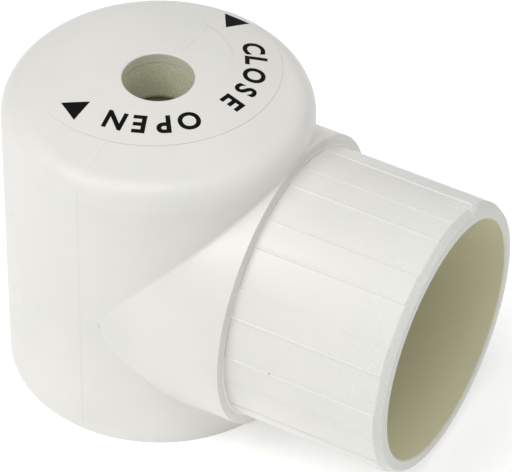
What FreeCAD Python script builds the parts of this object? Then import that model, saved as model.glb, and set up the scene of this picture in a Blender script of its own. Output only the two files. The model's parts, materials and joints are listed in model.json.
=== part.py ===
import FreeCAD, Part
import math
import os

import Sketcher

# Angle-pattern diaphragm valve, in millimetres, shown open.
# Frame: origin at the centre of the inlet's lower face, +Z up the spindle, +X out along the outlet.
# The inlet riser stands up the middle of the body. The diaphragm is clamped above it and is pushed
# down on the riser's seat ring by a compressor, which a turning, non-rising spindle drives.

doc = FreeCAD.newDocument("diaphragm_valve")
sheet = doc.addObject("Spreadsheet::Sheet", "Dims")


class Size:
    """A length held both as a number and as an expression on the sheet."""

    def __init__(self, text, value):
        self.text = text
        self.value = value

    def combine(self, other, sign, value):
        return Size(f"({self.text} {sign} {as_size(other).text})", value)

    def __add__(self, other):
        return self.combine(other, "+", self.value + as_size(other).value)

    def __sub__(self, other):
        return self.combine(other, "-", self.value - as_size(other).value)

    def __mul__(self, other):
        return self.combine(other, "*", self.value * as_size(other).value)

    def __truediv__(self, other):
        return self.combine(other, "/", self.value / as_size(other).value)


def as_size(amount):
    """A plain number taken as a Size, so that both can stand in one sum."""
    if isinstance(amount, Size):
        return amount
    return Size(str(amount), float(amount))


sheet_rows = 0


def size(name, value, note):
    """Put one driving dimension in the sheet, with its alias, and return it as a Size."""
    global sheet_rows
    sheet_rows += 1
    sheet.set(f"A{sheet_rows}", name)
    sheet.set(f"B{sheet_rows}", str(value))
    sheet.set(f"C{sheet_rows}", note)
    sheet.setAlias(f"B{sheet_rows}", name)
    return Size(f"Dims.{name}", float(value))


# ---- driving dimensions ------------------------------------------------------------------------

# Body shell, crown and collar
body_radius = size("body_radius", 27.15, "outside of the upright body")
shell_inner = size("shell_inner", 24.5, "inside of the body's wall")
apex_height = size("apex_height", 61.82, "where the crown's dome would meet the spindle axis")
dome_radius = size("dome_radius", 90, "sphere radius of the crown")
edge_radius = size("edge_radius", 5, "round between crown and side")
hole_radius = size("hole_radius", 6.25, "drive hole in the crown and bore of the spindle")
land_under = size("land_under", 59.5, "underside of the land round the drive hole")
roof_height = size("roof_height", 55.8, "underside of the crown")
roof_corner = size("roof_corner", 3, "chamfer between the wall and the roof, inside")
recess_radius = size("recess_radius", 11.8, "recess for the spindle's flange")
port_height = size("port_height", 26.6, "outlet axis above the base")
collar_radius = size("collar_radius", 26.9, "outside of the outlet collar")
collar_reach = size("collar_reach", 27, "collar's end face from the spindle axis")
port_radius = size("port_radius", 23.4, "port through the body's wall, behind the spigot")
socket_start = size("socket_start", 24.6, "where the collar's socket stops")
valley_round = size("valley_round", 0.6, "round in the valley between shell and collar")
rim_round = size("rim_round", 0.25, "round at the mouth of the drive hole")
under_depth = size("under_depth", 5, "raw stock below the base, cut off")

# Outlet spigot, for 50 mm pipe fittings
spigot_radius = size("spigot_radius", 25, "outside of the spigot")
tail_radius = size("tail_radius", 24.6, "reduced tail of the spigot, in the collar's socket")
outlet_bore = size("outlet_bore", 22.15, "bore of the spigot")
bevel_start = size("bevel_start", 55.7, "where the spigot's lead-in bevel starts")
spigot_end = size("spigot_end", 57.3, "end face of the spigot")
bevel_radius = size("bevel_radius", 24.1, "outside of the spigot at its end face")

# Printed film on the crown
film_thickness = size("film_thickness", 0.1, "thickness of the film")
film_shift_x = size("film_shift_x", -3.3, "centre of the film's arc from the spindle axis, X")
film_shift_y = size("film_shift_y", 4.5, "centre of the film's arc from the spindle axis, Y")
film_outer = size("film_outer", 22, "outer radius of the film's arc")
film_inner = size("film_inner", 13.5, "inner radius of the film's arc")
film_first = size("film_first", -112, "degrees from +X to the middle of the first round end")
film_sweep = size("film_sweep", 186, "degrees from the first round end to the last")

# Diaphragm and the stack that clamps it
seat_height = size("seat_height", 29, "top of the seat ring")
stroke = size("stroke", 6, "lift of the compressor")
rubber = size("rubber", 2, "thickness of the diaphragm")
hub_radius = size("hub_radius", 15, "compressor and the stiff middle of the diaphragm")
web_radius = size("web_radius", 19.4, "where the clamped flange of the diaphragm starts")
flange_radius = size("flange_radius", 24.2, "outside of the diaphragm and of the clamp ring")
clamp_plane = size("clamp_plane", 34.3, "lower face of the bonnet, where the diaphragm seals")
clamp_thickness = size("clamp_thickness", 2.8, "clamp ring")
clamp_bevel = size("clamp_bevel", 0.6, "bevels of the clamp ring")

# Clamp screws and washers, six of each
screw_circle = size("screw_circle", 21.9, "radius of the circle of screws")
screw_radius = size("screw_radius", 1.25, "thread of a screw")
screw_clearance = size("screw_clearance", 1.35, "hole for a screw in the clamped parts")
screw_length = size("screw_length", 15, "screw below its head")
head_radius = size("head_radius", 2.25, "screw head")
head_height = size("head_height", 1.6, "screw head")
head_bevel = size("head_bevel", 0.4, "bevel round the lower face of the screw head")
head_socket = size("head_socket", 1.15, "hexagon in the screw head, centre to corner")
head_socket_depth = size("head_socket_depth", 0.8, "hexagon in the screw head")
washer_radius = size("washer_radius", 2.3, "outside of a washer")
washer_thickness = size("washer_thickness", 0.5, "washer")

# Compressor, its nut, cushion and stud
cushion_thickness = size("cushion_thickness", 0.8, "cushion between compressor and diaphragm")
cushion_radius = size("cushion_radius", 14.8, "outside of the cushion")
floor_thickness = size("floor_thickness", 2.2, "floor of the compressor")
compressor_top = size("compressor_top", 49.2, "top of the compressor, open")
nut_radius = size("nut_radius", 10.5, "outside of the threaded nut")
nut_lift = size("nut_lift", 1, "nut above the compressor's floor")
stud_radius = size("stud_radius", 2, "shank of the diaphragm's stud")
stud_head = size("stud_head", 4, "head of the stud, moulded into the rubber")
stud_head_height = size("stud_head_height", 0.8, "head of the stud")
stud_cover = size("stud_cover", 0.7, "rubber under the stud's head")
stud_length = size("stud_length", 2.7, "shank of the stud")
stud_slack = size("stud_slack", 0.15, "room above the stud in the compressor")
mould_gap = size("mould_gap", 0.05, "room round the stud in the rubber")

# Spindle and its bearings
spindle_foot = size("spindle_foot", 40.5, "lower end of the spindle")
thread_radius = size("thread_radius", 8, "drive thread, drawn as a plain cylinder")
thread_play = size("thread_play", 0.08, "radial play in the drive thread")
thread_bevel = size("thread_bevel", 0.6, "start bevel of the drive thread")
thread_top = size("thread_top", 49.45, "top of the drive thread")
journal_radius = size("journal_radius", 9, "part of the spindle that turns in the bush")
running_play = size("running_play", 0.05, "running play at bush, seal and washers")
spindle_flange = size("spindle_flange", 11.3, "flange that takes the thrust")
flange_thickness = size("flange_thickness", 1.85, "spindle flange")
lip_radius = size("lip_radius", 8, "lip that stands up to the drive hole")
lip_top = size("lip_top", 59.35, "top of that lip")
bore_floor = size("bore_floor", 51.4, "ledge at the bottom of the spindle's round bore")
hex_depth = size("hex_depth", 6.9, "hexagon socket below that ledge")
hex_flats = size("hex_flats", 8, "hexagon socket, across flats")
thrust_radius = size("thrust_radius", 11.4, "outside of the thrust washers")
thrust_thickness = size("thrust_thickness", 1.5, "lower thrust washer")
wiper_section = size("wiper_section", 0.45, "cord radius of the wiper ring")

# Bonnet
bearing_floor = size("bearing_floor", 55, "face that carries the lower thrust washer")
bush_radius = size("bush_radius", 10.4, "outside of the spindle bush")
bush_foot = size("bush_foot", 52.2, "lower end of the bush")
gland_foot = size("gland_foot", 50.4, "lower face of the spindle seal's groove")
seal_section = size("seal_section", 0.9, "cord radius of the spindle seal")
lip_clearance = size("lip_clearance", 0.3, "gap between fixed and moving guide faces")
chamber_top = size("chamber_top", 49.5, "roof of the compressor's guide")
guide_foot = size("guide_foot", 38.4, "lower end of the compressor's guide")
guide_circle = size("guide_circle", 15.6, "guide pins from the spindle axis")
guide_pin_radius = size("guide_pin_radius", 1.2, "guide pin")
guide_play = size("guide_play", 0.1, "play of a guide pin in the compressor")

# Inlet: base, riser and seat, for 32 mm pipe
inlet_socket = size("inlet_socket", 16.05, "socket for the inlet pipe")
socket_depth = size("socket_depth", 16, "depth of that socket")
inlet_bore = size("inlet_bore", 12.5, "bore of the riser and the seat")
ledge = size("ledge", 1.5, "ledge between the socket and the riser")
riser_radius = size("riser_radius", 14.6, "outside of the riser")
riser_top = size("riser_top", 27.5, "top of the riser")
hub_outer = size("hub_outer", 18.2, "outside of the base's hub")
hub_top = size("hub_top", 24, "top of the base's hub")
base_top = size("base_top", 4.3, "top of the base's disc")
base_rim = size("base_rim", 22.6, "part of the base that reaches down inside the clip")
small_section = size("small_section", 0.7, "cord radius of the base seal and the riser seal")
riser_seal_height = size("riser_seal_height", 20.4, "middle of the riser seal")
base_seal_height = size("base_seal_height", 3, "middle of the base seal")
insert_radius = size("insert_radius", 13.4, "part of the seat ring that sits in the riser")
insert_foot = size("insert_foot", 25, "lower end of the seat ring")
seat_radius = size("seat_radius", 15, "outside of the seat ring")
seat_bevel = size("seat_bevel", 0.4, "bevels of the seat ring")
clip_foot = size("clip_foot", 0.5, "lower face of the retaining clip")
clip_top = size("clip_top", 1.4, "upper face of the retaining clip")
clip_outer = size("clip_outer", 25.3, "outside of the clip and of its groove")
clip_inner = size("clip_inner", 23.2, "inside of the clip")
clip_opening = size("clip_opening", 26, "gap of the clip, in degrees")

SCREW_COUNT = 6
GUIDE_PIN_COUNT = 2

# Heights that follow from the dimensions above, with the valve open
hub_foot = seat_height + stroke
hub_face = hub_foot + rubber
stud_foot = hub_foot + stud_cover
stud_shoulder = stud_foot + stud_head_height
stud_top = stud_shoulder + stud_length
compressor_foot = hub_face + cushion_thickness
compressor_floor = compressor_foot + floor_thickness
clamp_face = clamp_plane - rubber
clamp_foot = clamp_face - clamp_thickness
washer_foot = clamp_foot - washer_thickness
flange_foot = bearing_floor + thrust_thickness + running_play
flange_face = flange_foot + flange_thickness
riser_foot = socket_depth + ledge


# ---- ways of making a piece --------------------------------------------------------------------

def bind(thing, field, amount):
    """Tie one of a feature's numbers to the sheet."""
    thing.setExpression(field, as_size(amount).text)


def new_body(label):
    body = doc.addObject("PartDesign::Body", label)
    body.Label = label
    return body


def new_sketch(body, purpose, role, lift=None):
    """A sketch on one of the body's own origin planes, lifted along the plane's normal."""
    sketch = body.newObject("Sketcher::SketchObject", f"{body.Label}_{purpose}")
    plane = next(item for item in body.Origin.OriginFeatures if item.Role == role)
    sketch.AttachmentSupport = [(plane, "")]
    sketch.MapMode = "FlatFace"
    if lift is not None:
        bind(sketch, "AttachmentOffset.Base.z", lift)
    return sketch


def hold(sketch, kind, places, amount):
    """Add a dimension to a sketch and tie it to the sheet."""
    index = sketch.addConstraint(Sketcher.Constraint(kind, *places, as_size(amount).value))
    bind(sketch, f"Constraints[{index}]", amount)


def hold_point(sketch, curve, end, across, up):
    """Fix one point of a sketch at a distance across and up from the sketch's origin."""
    if as_size(across).value == 0:
        sketch.addConstraint(Sketcher.Constraint("PointOnObject", curve, end, -2))
    else:
        hold(sketch, "DistanceX", (-1, 1, curve, end), across)
    if as_size(up).value == 0:
        sketch.addConstraint(Sketcher.Constraint("PointOnObject", curve, end, -1))
    else:
        hold(sketch, "DistanceY", (-1, 1, curve, end), up)


def draw_outline(sketch, outline):
    """A closed outline of straight lines through (radius, height) corners."""
    corners = []
    for across, up in outline:
        corners.append(FreeCAD.Vector(as_size(across).value, as_size(up).value, 0))
    count = len(corners)
    for index in range(count):
        sketch.addGeometry(Part.LineSegment(corners[index], corners[(index + 1) % count]))
    for index in range(count):
        after = (index + 1) % count
        sketch.addConstraint(Sketcher.Constraint("Coincident", index, 2, after, 1))
    for index, (across, up) in enumerate(outline):
        hold_point(sketch, index, 1, across, up)


def draw_circle(sketch, across, up, radius):
    """A circle at a distance across and up from the sketch's origin."""
    centre = FreeCAD.Vector(as_size(across).value, as_size(up).value, 0)
    circle = Part.Circle(centre, FreeCAD.Vector(0, 0, 1), as_size(radius).value)
    curve = sketch.addGeometry(circle)
    hold_point(sketch, curve, 3, across, up)
    hold(sketch, "Radius", (curve,), radius)


def turn(body, sketch, kind="PartDesign::Revolution"):
    """Turn a sketch once round the body's Z axis, adding or, with a Groove, cutting."""
    feature = body.newObject(kind, f"{sketch.Name}_turned")
    feature.Profile = sketch
    feature.ReferenceAxis = (sketch, ["V_Axis"])
    feature.Angle = 360
    return feature


def turned_piece(label, outline):
    """A piece turned from one outline."""
    body = new_body(label)
    sketch = new_sketch(body, "section", "XZ_Plane")
    draw_outline(sketch, outline)
    turn(body, sketch)
    return body


def ring_piece(label, inner, outer, foot, top):
    """A plain ring between two radii and two heights."""
    return turned_piece(label, [(inner, foot), (outer, foot), (outer, top), (inner, top)])


def cut_through(body, sketch, length, forward=True):
    """Pocket a sketch, forward along its plane's normal or back against it."""
    pocket = body.newObject("PartDesign::Pocket", f"{sketch.Name}_cut")
    pocket.Profile = sketch
    pocket.Type = "Length"
    pocket.Reversed = forward
    bind(pocket, "Length", length)
    return pocket


def repeat_round_axis(body, feature, sketch, count):
    """Repeat a cut at equal steps round the body's Z axis."""
    pattern = body.newObject("PartDesign::PolarPattern", f"{feature.Name}_round")
    pattern.Originals = [feature]
    pattern.Axis = (sketch, ["N_Axis"])
    pattern.Angle = 360
    pattern.Occurrences = count
    body.Tip = pattern
    return pattern


def drill_round_axis(body, purpose, circle_radius, hole, foot, top, count):
    """A ring of equal upright holes, from one height to another."""
    sketch = new_sketch(body, purpose, "XY_Plane", lift=foot)
    draw_circle(sketch, circle_radius, 0, hole)
    pocket = cut_through(body, sketch, as_size(top) - foot)
    repeat_round_axis(body, pocket, sketch, count)


def cord_ring(label, middle_radius, height, section):
    """An O-ring: a torus of round cord."""
    ring = doc.addObject("Part::Torus", label)
    ring.Label = label
    bind(ring, "Radius1", middle_radius)
    bind(ring, "Radius2", section)
    bind(ring, "Placement.Base.z", height)
    return ring


def solids_piece(label, solids):
    """One node that holds several equal solids."""
    piece = doc.addObject("Part::Feature", label)
    piece.Label = label
    piece.Shape = Part.makeCompound(solids)
    piece.Placement = FreeCAD.Placement()
    return piece


def copies_round_axis(solid, count):
    """Copies of a solid at equal steps round the Z axis."""
    copies = []
    for index in range(count):
        copy = solid.copy()
        copy.rotate(FreeCAD.Vector(0, 0, 0), FreeCAD.Vector(0, 0, 1), 360 * index / count)
        copies.append(copy)
    return copies


def upright_cylinder(radius, foot, top, across):
    """A Part cylinder between two heights, set off along X from the Z axis."""
    start = as_size(foot).value
    length = as_size(top).value - start
    base = FreeCAD.Vector(as_size(across).value, 0, start)
    return Part.makeCylinder(as_size(radius).value, length, base)


# ---- body shell, spigot and film ---------------------------------------------------------------

def draw_dome_section(sketch):
    """Half section of the body's outside, which starts below the base and is cut off there later."""
    centre_height = apex_height.value - dome_radius.value
    edge_angle = math.acos(body_radius.value / dome_radius.value)
    edge_height = centre_height + dome_radius.value * math.sin(edge_angle)
    axis_foot = FreeCAD.Vector(0, -under_depth.value, 0)
    side_foot = FreeCAD.Vector(body_radius.value, -under_depth.value, 0)
    edge = FreeCAD.Vector(body_radius.value, edge_height, 0)
    apex = FreeCAD.Vector(0, apex_height.value, 0)
    middle = FreeCAD.Vector(0, centre_height, 0)
    dome = Part.Circle(middle, FreeCAD.Vector(0, 0, 1), dome_radius.value)
    sketch.addGeometry(Part.LineSegment(axis_foot, side_foot))
    sketch.addGeometry(Part.LineSegment(side_foot, edge))
    sketch.addGeometry(Part.ArcOfCircle(dome, edge_angle, math.pi / 2))
    sketch.addGeometry(Part.LineSegment(apex, axis_foot))
    for curve in range(4):
        after = (curve + 1) % 4
        sketch.addConstraint(Sketcher.Constraint("Coincident", curve, 2, after, 1))
    hold_point(sketch, 0, 1, 0, under_depth * -1)
    sketch.addConstraint(Sketcher.Constraint("Horizontal", 0))
    sketch.addConstraint(Sketcher.Constraint("Vertical", 1))
    sketch.addConstraint(Sketcher.Constraint("PointOnObject", 2, 3, -2))
    hold(sketch, "Distance", (0,), body_radius)
    hold(sketch, "Radius", (2,), dome_radius)
    hold_point(sketch, 3, 1, 0, apex_height)


def crown_edges(shape):
    """Numbers of the edges where a dome meets an upright side."""
    numbers = []
    for index, edge in enumerate(shape.Edges):
        if edge.Degenerated or edge.BoundBox.ZMin < roof_height.value:
            continue
        if isinstance(edge.Curve, Part.Circle):
            numbers.append(index)
    return numbers


def valley_edges(shape):
    """Numbers of the edges where the collar grows out of the shell."""
    numbers = []
    for index, edge in enumerate(shape.Edges):
        if not edge.Degenerated and isinstance(edge.Curve, Part.BSplineCurve):
            if edge.BoundBox.ZMax < port_height.value + collar_radius.value + valley_round.value:
                numbers.append(index)
    return numbers


def drive_hole_edges(shape):
    """Numbers of the edges round the mouth of the drive hole."""
    numbers = []
    for index, edge in enumerate(shape.Edges):
        if edge.Degenerated or not isinstance(edge.Curve, Part.Circle):
            continue
        at_mouth = edge.BoundBox.ZMin > (land_under.value + apex_height.value) / 2
        if at_mouth and abs(edge.Curve.Radius - hole_radius.value) < rim_round.value:
            numbers.append(index)
    return numbers


def make_valve_body():
    """One moulding: upright shell, domed crown with the drive hole, and outlet collar."""
    body = new_body("valve_body")
    outside = new_sketch(body, "outside", "XZ_Plane")
    draw_dome_section(outside)
    shell = turn(body, outside)
    doc.recompute()

    rounded = body.newObject("PartDesign::Fillet", "crown_round")
    rounded.Base = (shell, [f"Edge{number + 1}" for number in crown_edges(shell.Shape)])
    bind(rounded, "Radius", edge_radius)

    collar_section = new_sketch(body, "collar", "YZ_Plane")
    draw_circle(collar_section, 0, port_height, collar_radius)
    collar = body.newObject("PartDesign::Pad", "collar")
    collar.Profile = collar_section
    bind(collar, "Length", spigot_end)
    doc.recompute()

    valley = body.newObject("PartDesign::Fillet", "valley_round")
    valley.Base = (collar, [f"Edge{number + 1}" for number in valley_edges(collar.Shape)])
    bind(valley, "Radius", valley_round)

    under = new_sketch(body, "under", "XY_Plane")
    draw_circle(under, 0, 0, spigot_end * 2)
    cut_through(body, under, under_depth * 2, forward=False)

    end_face = new_sketch(body, "end_face", "YZ_Plane", lift=collar_reach)
    draw_circle(end_face, 0, port_height, collar_radius + valley_round * 2)
    cut_through(body, end_face, spigot_end)

    cavity = new_sketch(body, "cavity", "XZ_Plane")
    draw_outline(cavity, [
        (0, 0),
        (shell_inner, 0),
        (shell_inner, clip_foot),
        (clip_outer, clip_foot),
        (clip_outer, clip_top),
        (shell_inner, clip_top),
        (shell_inner, roof_height - roof_corner),
        (shell_inner - roof_corner, roof_height),
        (recess_radius, roof_height),
        (recess_radius, land_under),
        (hole_radius, land_under),
        (hole_radius, apex_height),
        (0, apex_height),
    ])
    hollow = turn(body, cavity, "PartDesign::Groove")
    doc.recompute()

    rim = body.newObject("PartDesign::Fillet", "drive_hole_round")
    rim.Base = (hollow, [f"Edge{number + 1}" for number in drive_hole_edges(hollow.Shape)])
    bind(rim, "Radius", rim_round)

    port = new_sketch(body, "port", "YZ_Plane")
    draw_circle(port, 0, port_height, port_radius)
    cut_through(body, port, spigot_end)

    socket = new_sketch(body, "socket", "YZ_Plane", lift=socket_start)
    draw_circle(socket, 0, port_height, tail_radius)
    cut_through(body, socket, spigot_end)


def make_outlet_spigot():
    """Spigot tube: tail for the socket, shoulder on the collar's face, bevel at the free end."""
    spigot = turned_piece("outlet_spigot", [
        (outlet_bore, socket_start),
        (tail_radius, socket_start),
        (tail_radius, collar_reach),
        (spigot_radius, collar_reach),
        (spigot_radius, bevel_start),
        (bevel_radius, spigot_end),
        (outlet_bore, spigot_end),
    ])
    quarter_turn = FreeCAD.Rotation(FreeCAD.Vector(0, 1, 0), 90)
    spigot.Placement = FreeCAD.Placement(FreeCAD.Vector(0, 0, 0), quarter_turn)
    bind(spigot, "Placement.Base.z", port_height)


def crown_solid(skin):
    """The body's outside as a plain solid, thicker by a skin all over."""
    centre = FreeCAD.Vector(0, 0, apex_height.value - dome_radius.value)
    side = Part.makeCylinder(body_radius.value + skin, apex_height.value + skin)
    dome = Part.makeSphere(dome_radius.value + skin, centre)
    solid = side.common(dome)
    edges = [solid.Edges[number] for number in crown_edges(solid)]
    return solid.makeFillet(edge_radius.value + skin, edges)


def make_label_film():
    """Clear film: an arc with round ends, lying on the crown."""
    middle = (film_outer.value + film_inner.value) / 2
    half_width = (film_outer.value - film_inner.value) / 2
    up = FreeCAD.Vector(0, 0, 1)
    foot = FreeCAD.Vector(0, 0, roof_height.value - edge_radius.value)
    tall = apex_height.value
    arc = Part.makeCylinder(film_outer.value, tall, foot, up, film_sweep.value)
    arc = arc.cut(Part.makeCylinder(film_inner.value, tall, foot))
    for angle in (0, film_sweep.value):
        end = FreeCAD.Rotation(up, angle).multVec(FreeCAD.Vector(middle, 0, 0))
        arc = arc.fuse(Part.makeCylinder(half_width, tall, foot + end))
    arc.rotate(FreeCAD.Vector(0, 0, 0), up, film_first.value)
    arc.translate(FreeCAD.Vector(film_shift_x.value, film_shift_y.value, 0))
    skin = crown_solid(film_thickness.value).cut(crown_solid(0))
    solids_piece("label_film", skin.common(arc).Solids)


# ---- bonnet and spindle ------------------------------------------------------------------------

def make_bonnet():
    """Bonnet inside the crown: bearing above, compressor guide below, flange face at the bottom."""
    bonnet = turned_piece("bonnet_insert", [
        (web_radius, clamp_plane),
        (shell_inner, clamp_plane),
        (shell_inner, roof_height - roof_corner),
        (shell_inner - roof_corner, roof_height),
        (recess_radius, roof_height),
        (recess_radius, bearing_floor),
        (bush_radius, bearing_floor),
        (bush_radius, bush_foot),
        (journal_radius + running_play + seal_section * 2, bush_foot),
        (journal_radius + running_play + seal_section * 2, gland_foot),
        (journal_radius + lip_clearance, gland_foot),
        (journal_radius + lip_clearance, chamber_top),
        (hub_radius + lip_clearance, chamber_top),
        (hub_radius + lip_clearance, guide_foot),
    ])
    drill_round_axis(bonnet, "screw_holes", screw_circle, screw_radius,
                     clamp_plane, washer_foot + screw_length, SCREW_COUNT)
    drill_round_axis(bonnet, "pin_grooves", guide_circle, guide_pin_radius,
                     clamp_plane, chamber_top, GUIDE_PIN_COUNT)


def make_guide_pins():
    """Two upright pins that keep the compressor from turning."""
    pin = upright_cylinder(guide_pin_radius, guide_foot, chamber_top, guide_circle)
    solids_piece("guide_pins", copies_round_axis(pin, GUIDE_PIN_COUNT))


def make_drive_spindle():
    """Hollow spindle: round bore and hexagon socket inside, flange, journal and thread outside."""
    spindle = turned_piece("drive_spindle", [
        (0, spindle_foot),
        (thread_radius - thread_bevel, spindle_foot),
        (thread_radius, spindle_foot + thread_bevel),
        (thread_radius, thread_top),
        (journal_radius, thread_top),
        (journal_radius, flange_foot),
        (spindle_flange, flange_foot),
        (spindle_flange, flange_face),
        (lip_radius, flange_face),
        (lip_radius, lip_top),
        (hole_radius, lip_top),
        (hole_radius, bore_floor),
        (0, bore_floor),
    ])
    doc.recompute()
    socket = new_sketch(spindle, "hexagon", "XY_Plane", lift=bore_floor)
    corner_radius = hex_flats / math.sqrt(3)
    corners = []
    for index in range(6):
        across = corner_radius * math.cos(math.radians(60 * index))
        along = corner_radius * math.sin(math.radians(60 * index))
        corners.append((across, along))
    draw_outline(socket, corners)
    cut_through(spindle, socket, hex_depth, forward=False)


def make_spindle_bearings():
    """Bush, two thrust washers, seal and wiper round the spindle."""
    ring_piece("spindle_bush", journal_radius + running_play, bush_radius, bush_foot, bearing_floor)
    ring_piece("lower_thrust_washer", journal_radius + lip_clearance, thrust_radius,
               bearing_floor, bearing_floor + thrust_thickness)
    wiper_middle = lip_radius + running_play + wiper_section
    ring_piece("upper_thrust_washer", wiper_middle + wiper_section + running_play, thrust_radius,
               flange_face + running_play, land_under - running_play)
    cord_ring("stem_wiper", wiper_middle, land_under - running_play - wiper_section, wiper_section)
    cord_ring("spindle_seal", journal_radius + running_play + seal_section,
              gland_foot + seal_section, seal_section)


# ---- compressor and diaphragm ------------------------------------------------------------------

def make_compressor():
    """Cup that slides in the bonnet and carries the nut; its floor presses on the diaphragm."""
    compressor = turned_piece("compressor", [
        (stud_radius, compressor_foot),
        (hub_radius, compressor_foot),
        (hub_radius, compressor_top),
        (nut_radius, compressor_top),
        (nut_radius, compressor_floor + nut_lift),
        (nut_radius - nut_lift, compressor_floor + nut_lift),
        (nut_radius - nut_lift, compressor_floor),
        (0, compressor_floor),
        (0, stud_top + stud_slack),
        (stud_radius, stud_top + stud_slack),
    ])
    drill_round_axis(compressor, "pin_grooves", guide_circle, guide_pin_radius + guide_play,
                     compressor_foot, compressor_top, GUIDE_PIN_COUNT)
    ring_piece("compressor_nut", thread_radius + thread_play, nut_radius,
               compressor_floor + nut_lift, compressor_top)
    ring_piece("backing_cushion", stud_radius, cushion_radius, hub_face, compressor_foot)


def make_diaphragm():
    """Rubber diaphragm, dished up when open, with the stud moulded into its middle."""
    diaphragm = turned_piece("diaphragm", [
        (0, hub_foot),
        (hub_radius, hub_foot),
        (web_radius, clamp_face),
        (flange_radius, clamp_face),
        (flange_radius, clamp_plane),
        (web_radius, clamp_plane),
        (hub_radius, hub_face),
        (stud_radius + mould_gap, hub_face),
        (stud_radius + mould_gap, stud_shoulder + mould_gap),
        (stud_head + mould_gap, stud_shoulder + mould_gap),
        (stud_head + mould_gap, stud_foot - mould_gap),
        (0, stud_foot - mould_gap),
    ])
    drill_round_axis(diaphragm, "screw_holes", screw_circle, screw_clearance,
                     clamp_face, clamp_plane, SCREW_COUNT)
    turned_piece("diaphragm_stud", [
        (0, stud_foot),
        (stud_head, stud_foot),
        (stud_head, stud_shoulder),
        (stud_radius, stud_shoulder),
        (stud_radius, stud_top),
        (0, stud_top),
    ])


def make_clamp():
    """Clamp ring with its six screws and washers."""
    ring = turned_piece("clamp_ring", [
        (web_radius + clamp_bevel, clamp_foot),
        (flange_radius - clamp_bevel, clamp_foot),
        (flange_radius, clamp_foot + clamp_bevel),
        (flange_radius, clamp_face),
        (web_radius, clamp_face),
        (web_radius, clamp_foot + clamp_bevel),
    ])
    drill_round_axis(ring, "screw_holes", screw_circle, screw_clearance,
                     clamp_foot, clamp_face, SCREW_COUNT)

    washer = upright_cylinder(washer_radius, washer_foot, clamp_foot, screw_circle)
    washer = washer.cut(upright_cylinder(screw_clearance, washer_foot, clamp_foot, screw_circle))
    solids_piece("clamp_washers", copies_round_axis(washer, SCREW_COUNT))

    head_foot = washer_foot - head_height
    screw = upright_cylinder(head_radius, head_foot, washer_foot, screw_circle)
    rim = []
    for edge in screw.Edges:
        if edge.BoundBox.ZMax < head_foot.value + head_bevel.value:
            rim.append(edge)
    screw = screw.makeChamfer(head_bevel.value, rim)
    screw = screw.fuse(upright_cylinder(screw_radius, washer_foot, washer_foot + screw_length,
                                        screw_circle))
    corners = []
    for index in range(7):
        spoke = FreeCAD.Vector(head_socket.value, 0, 0)
        spoke = FreeCAD.Rotation(FreeCAD.Vector(0, 0, 1), 60 * index).multVec(spoke)
        corners.append(spoke + FreeCAD.Vector(screw_circle.value, 0, head_foot.value))
    hexagon = Part.Face(Part.makePolygon(corners))
    screw = screw.cut(hexagon.extrude(FreeCAD.Vector(0, 0, head_socket_depth.value)))
    solids_piece("clamp_screws", copies_round_axis(screw, SCREW_COUNT))


# ---- inlet ---------------------------------------------------------------------------------------

def make_inlet():
    """Base with the pipe socket, riser, seat ring, and their two seals."""
    base_groove = shell_inner - small_section * 2
    riser_groove = riser_radius + small_section * 2
    turned_piece("inlet_base", [
        (inlet_socket, 0),
        (base_rim, 0),
        (base_rim, clip_top),
        (shell_inner, clip_top),
        (shell_inner, base_seal_height - small_section),
        (base_groove, base_seal_height - small_section),
        (base_groove, base_seal_height + small_section),
        (shell_inner, base_seal_height + small_section),
        (shell_inner, base_top),
        (hub_outer, base_top),
        (hub_outer, hub_top),
        (riser_radius, hub_top),
        (riser_radius, riser_seal_height + small_section),
        (riser_groove, riser_seal_height + small_section),
        (riser_groove, riser_seal_height - small_section),
        (riser_radius, riser_seal_height - small_section),
        (riser_radius, riser_foot),
        (inlet_bore, riser_foot),
        (inlet_bore, socket_depth),
        (inlet_socket, socket_depth),
    ])
    cord_ring("base_seal", shell_inner - small_section, base_seal_height, small_section)
    cord_ring("riser_seal", riser_radius + small_section, riser_seal_height, small_section)
    turned_piece("seat_tube", [
        (inlet_bore, riser_foot),
        (riser_radius, riser_foot),
        (riser_radius, riser_top),
        (insert_radius, riser_top),
        (insert_radius, insert_foot),
        (inlet_bore, insert_foot),
    ])
    turned_piece("seat_ring", [
        (inlet_bore, insert_foot),
        (insert_radius, insert_foot),
        (insert_radius, riser_top),
        (seat_radius, riser_top),
        (seat_radius, seat_height - seat_bevel),
        (seat_radius - seat_bevel, seat_height),
        (inlet_bore + seat_bevel, seat_height),
        (inlet_bore, seat_height - seat_bevel),
    ])


def make_base_clip():
    """Open steel ring with two eyes, sprung into the body's groove under the base."""
    foot = FreeCAD.Vector(0, 0, clip_foot.value)
    thick = clip_top.value - clip_foot.value
    up = FreeCAD.Vector(0, 0, 1)
    sweep = 360 - clip_opening.value
    ring = Part.makeCylinder(clip_outer.value, thick, foot, up, sweep)
    ring = ring.cut(Part.makeCylinder(clip_inner.value, thick, foot))
    eye_radius = (clip_outer.value - clip_inner.value) / 2
    eye_place = FreeCAD.Vector(clip_inner.value + eye_radius, 0, 0)
    for angle in (0, sweep):
        centre = foot + FreeCAD.Rotation(up, angle).multVec(eye_place)
        ring = ring.fuse(Part.makeCylinder(eye_radius, thick, centre))
        ring = ring.cut(Part.makeCylinder(eye_radius / 2, thick, centre))
    ring.rotate(FreeCAD.Vector(0, 0, 0), up, 180 + clip_opening.value / 2)
    solids_piece("base_clip", ring.removeSplitter().Solids)


# ---- build, test and write ---------------------------------------------------------------------

make_valve_body()
make_outlet_spigot()
make_label_film()
make_bonnet()
make_guide_pins()
make_drive_spindle()
make_spindle_bearings()
make_compressor()
make_diaphragm()
make_clamp()
make_inlet()
make_base_clip()
doc.recompute()

for thing in doc.Objects:
    if "Invalid" in thing.State or "Error" in thing.State:
        raise RuntimeError(f"{thing.Label} failed: {thing.State}")

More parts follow.
